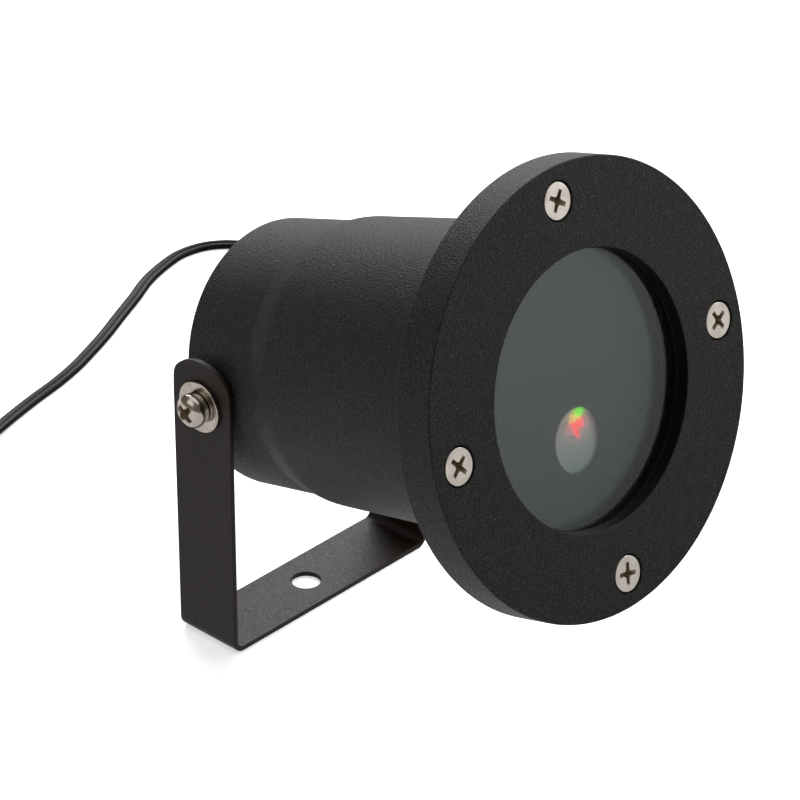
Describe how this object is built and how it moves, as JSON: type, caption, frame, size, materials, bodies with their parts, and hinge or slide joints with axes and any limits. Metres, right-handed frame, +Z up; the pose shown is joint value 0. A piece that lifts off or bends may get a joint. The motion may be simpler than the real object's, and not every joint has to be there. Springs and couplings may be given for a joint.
{
  "type": "laser show projector",
  "caption": "Round laser light projector with a glass window, tilting in a U bracket; a turning grating inside spreads a red and a green beam.",
  "frame": {"origin": "middle of the bracket's bolt hole, on the bracket's underside", "axes": "+Z up, out of the bracket's base; the head faces -Y, tipped up; the tilt axis lies along X"},
  "size_m": [0.2129, 0.2658, 0.1349],
  "materials": {
    "powder_coat": "fine-textured black powder coat on cast aluminium",
    "bracket_paint": "semi-matt black paint on bent steel strip",
    "bright_steel": "nickel-plated screws and washers",
    "window_glass": "clear float glass",
    "seal_rubber": "black rubber",
    "mask_black": "dark grey painted sheet",
    "grating_film": "clear embossed diffraction film",
    "white_plastic": "moulded white plastic",
    "brass": "turned brass",
    "plain_aluminium": "machined aluminium",
    "motor_steel": "plated steel",
    "board_green": "solder-masked glass-epoxy board",
    "black_plastic": "moulded black nylon",
    "terminal_green": "moulded green plastic",
    "capacitor_sleeve": "shrunk dark blue sleeve",
    "copper": "enamelled copper on ferrite",
    "wire_red": "red wire insulation",
    "lead_black": "black vinyl insulation",
    "mirror": "front-silvered glass",
    "filter_glass": "dichroic coated glass",
    "lens_glass": "clear lens",
    "tie_plastic": "white nylon tie"
  },
  "bodies": {
    "bracket": {"u_bracket": "bracket_paint", "cord_lead": "lead_black", "cord_coil": "lead_black", "cord_ties": "tie_plastic", "cord_tail": "lead_black", "plug_body": "lead_black", "plug_barrel": "bright_steel", "plug_core": "black_plastic"},
    "head": {"front_bezel": "powder_coat", "bezel_screws": "bright_steel", "bezel_seal": "seal_rubber", "front_gasket": "seal_rubber", "window_glass": "window_glass", "rear_gasket": "seal_rubber", "aperture_mask": "mask_black", "grating_film": "grating_film", "housing": "powder_coat", "optics_plate": "plain_aluminium", "plate_screws": "bright_steel", "gearbox": "brass", "motor_can": "motor_steel", "motor_screws": "bright_steel", "laser_block": "plain_aluminium", "block_screws": "bright_steel", "green_laser": "brass", "red_laser": "brass", "laser_lenses": "lens_glass", "fold_mirror": "mirror", "dichroic_filter": "filter_glass", "driver_board": "board_green", "board_pillars": "brass", "board_screws": "bright_steel", "capacitors": "capacitor_sleeve", "inductor": "copper", "chips": "black_plastic", "wire_headers": "white_plastic", "supply_terminal": "terminal_green", "motor_leads": "wire_red", "laser_leads": "lead_black", "inner_lead": "lead_black", "gland_body": "black_plastic", "gland_seal": "seal_rubber", "gland_nut": "black_plastic", "lock_nut": "black_plastic", "pivot_screws": "bright_steel", "flat_washers": "bright_steel", "spring_washers": "bright_steel"},
    "wheel": {"motor_shaft": "motor_steel", "wheel_hub": "white_plastic", "grating_disc": "grating_film"}
  },
  "joints": [
    {"name": "head_tilt", "type": "hinge", "parent": "bracket", "child": "head", "pos_m": [0, 0, 0.063], "axis": [-1, 0, 0], "range_deg": [-20.5, 79.5], "deforming": ["cord_lead"]},
    {"name": "wheel_spin", "type": "hinge", "parent": "head", "child": "wheel", "pos_m": [0, 0, 0.063], "axis": [0, 0.9636, -0.2672], "continuous": true}
  ]
}
